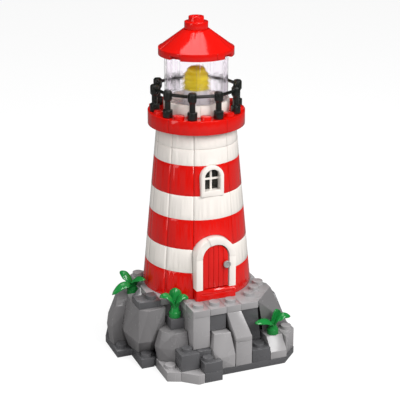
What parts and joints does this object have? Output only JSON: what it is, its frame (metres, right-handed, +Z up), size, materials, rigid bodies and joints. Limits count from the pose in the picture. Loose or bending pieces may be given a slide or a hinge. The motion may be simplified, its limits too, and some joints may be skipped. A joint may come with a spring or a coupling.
{
  "type": "toy brick-built lighthouse",
  "caption": "Brick-built toy lighthouse with a red and white striped tapered tower on grey rock, hinged arched door, railed gallery, clear lantern and red conical roof.",
  "frame": {"origin": "the tower's axis on the ground, on the underside of the base plate", "axes": "+Z up along the tower's axis, the door and the window face -Y, +X to the right as seen from the front"},
  "size_m": [0.081, 0.0817, 0.1593],
  "materials": {
    "dark_grey_plastic": "glossy moulded plastic",
    "mid_grey_plastic": "glossy moulded plastic",
    "light_grey_plastic": "glossy moulded plastic",
    "red_plastic": "glossy moulded plastic",
    "white_plastic": "glossy moulded plastic, warm white",
    "green_plastic": "glossy moulded plastic",
    "black_plastic": "satin moulded plastic",
    "knob_grey_plastic": "satin moulded plastic",
    "clear_plastic": "clear moulded plastic",
    "stem_plastic": "clear moulded plastic",
    "yellow_plastic": "clear yellow moulded plastic"
  },
  "bodies": {
    "lighthouse": {"base_plate": "dark_grey_plastic", "front_step_plates": "dark_grey_plastic", "front_light_plates": "light_grey_plastic", "rock_core": "mid_grey_plastic", "rock_terrace": "light_grey_plastic", "left_tall_rock": "mid_grey_plastic", "left_slope_rock": "mid_grey_plastic", "left_terrace_brick": "dark_grey_plastic", "front_faceted_rock": "mid_grey_plastic", "front_column": "light_grey_plastic", "front_plates": "light_grey_plastic", "front_slope": "light_grey_plastic", "front_light_rock": "light_grey_plastic", "front_dark_bricks": "dark_grey_plastic", "right_dark_rock": "dark_grey_plastic", "right_big_slope": "mid_grey_plastic", "right_light_slope": "light_grey_plastic", "right_low_bricks": "dark_grey_plastic", "right_corner_brick": "light_grey_plastic", "right_back_rock": "dark_grey_plastic", "back_rocks": "mid_grey_plastic", "back_light_rocks": "light_grey_plastic", "left_sprig": "green_plastic", "front_sprig": "green_plastic", "right_sprig": "green_plastic", "red_band_lower": "red_plastic", "white_band_lower": "white_plastic", "red_band_middle": "red_plastic", "white_band_middle": "white_plastic", "red_band_upper": "red_plastic", "white_rows": "white_plastic", "door_surround": "white_plastic", "door_sill": "red_plastic", "window_frame": "white_plastic", "window_pane": "black_plastic", "gallery_ring": "red_plastic", "railing_posts": "black_plastic", "handrail": "black_plastic", "lantern_drum": "white_plastic", "lantern_glass": "clear_plastic", "lamp_stand": "stem_plastic", "lamp_dome": "yellow_plastic", "roof_cone": "red_plastic", "roof_knob": "red_plastic"},
    "door": {"door_leaf": "red_plastic", "door_knob": "knob_grey_plastic"}
  },
  "joints": [
    {"name": "door_hinge", "type": "hinge", "parent": "lighthouse", "child": "door", "pos_m": [-0.007, -0.02625, 0.0374], "axis": [0, 0, -1], "range_deg": [0, 90]}
  ]
}
